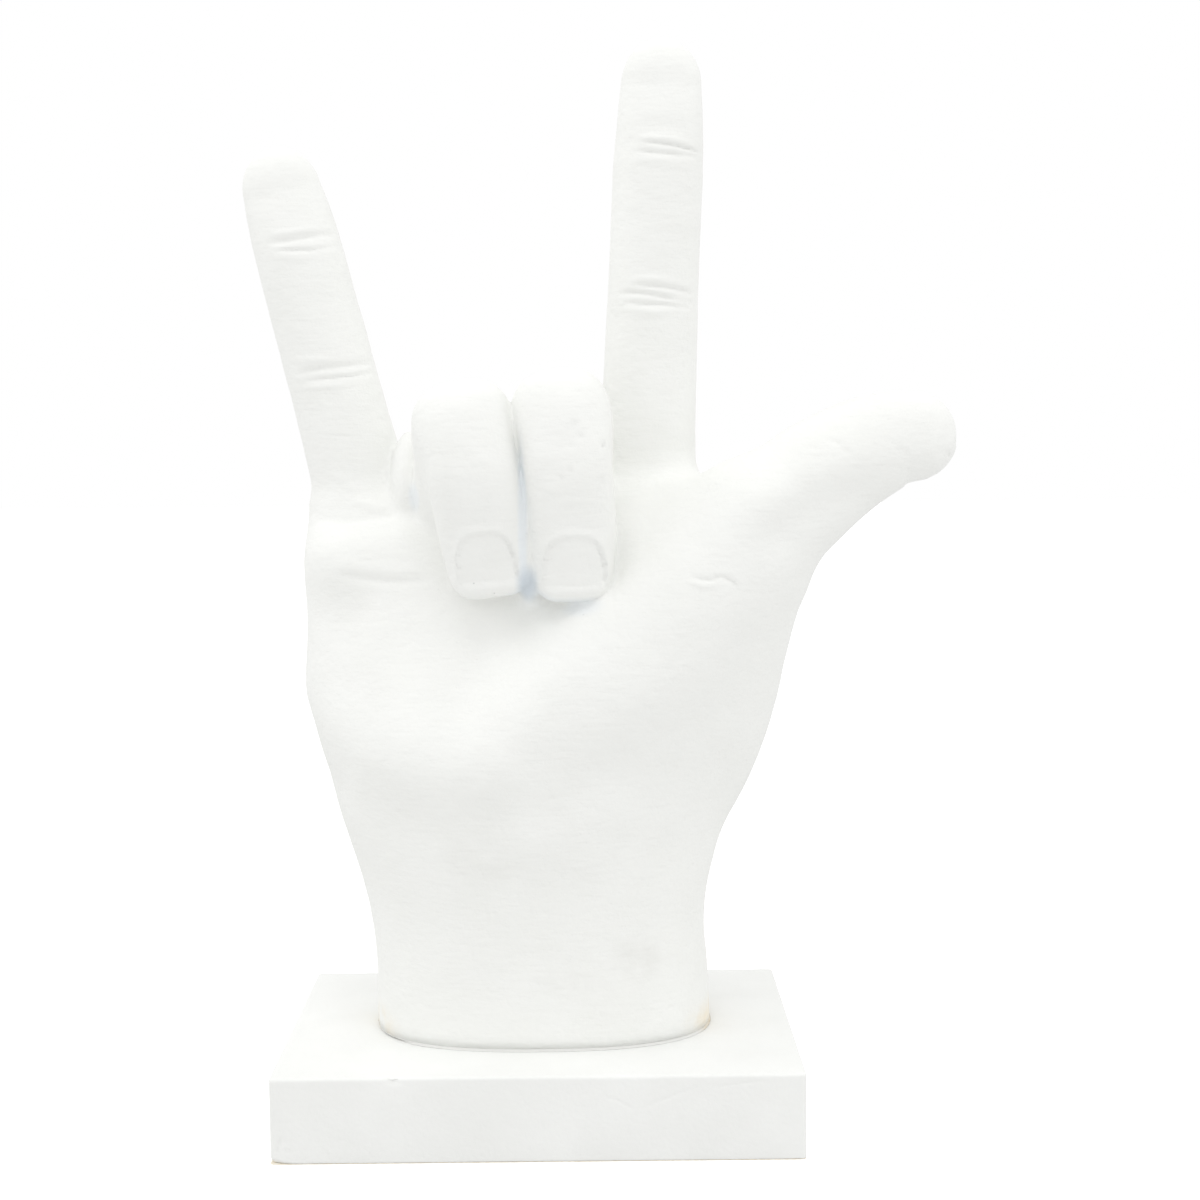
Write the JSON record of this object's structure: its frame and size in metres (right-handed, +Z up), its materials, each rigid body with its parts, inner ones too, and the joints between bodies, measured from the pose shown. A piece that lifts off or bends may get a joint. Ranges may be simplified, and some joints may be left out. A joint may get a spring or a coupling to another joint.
{
  "type": "hand sculpture",
  "caption": "White cast hand sculpture on a rectangular plinth, index and little finger raised, thumb out, the middle fingers folded onto the palm.",
  "frame": {"origin": "centre of the underside, on the bottom of the base felt, where the sculpture stands", "axes": "+Z up along the raised fingers, +X towards the thumb, +Y towards the back of the hand; the palm faces -Y"},
  "size_m": [0.1635, 0.084, 0.2495],
  "materials": {
    "cast_white": "matte filled casting resin, uncoated, with fine pits and brush marks",
    "plinth_white": "matte filled casting resin, uncoated, lightly scratched",
    "amber_glue": "cured glue, semi-gloss, amber brown",
    "tan_felt": "thin pressed felt, light tan",
    "zinc_steel": "zinc plated",
    "brass": "turned brass"
  },
  "bodies": {
    "root": {"hand_casting": "cast_white", "glue_film": "amber_glue", "plinth": "plinth_white", "base_felt": "tan_felt", "fixing_screw_left": "zinc_steel", "fixing_screw_right": "zinc_steel", "washer_left": "zinc_steel", "washer_right": "zinc_steel", "threaded_insert_left": "brass", "threaded_insert_right": "brass"}
  },
  "joints": []
}
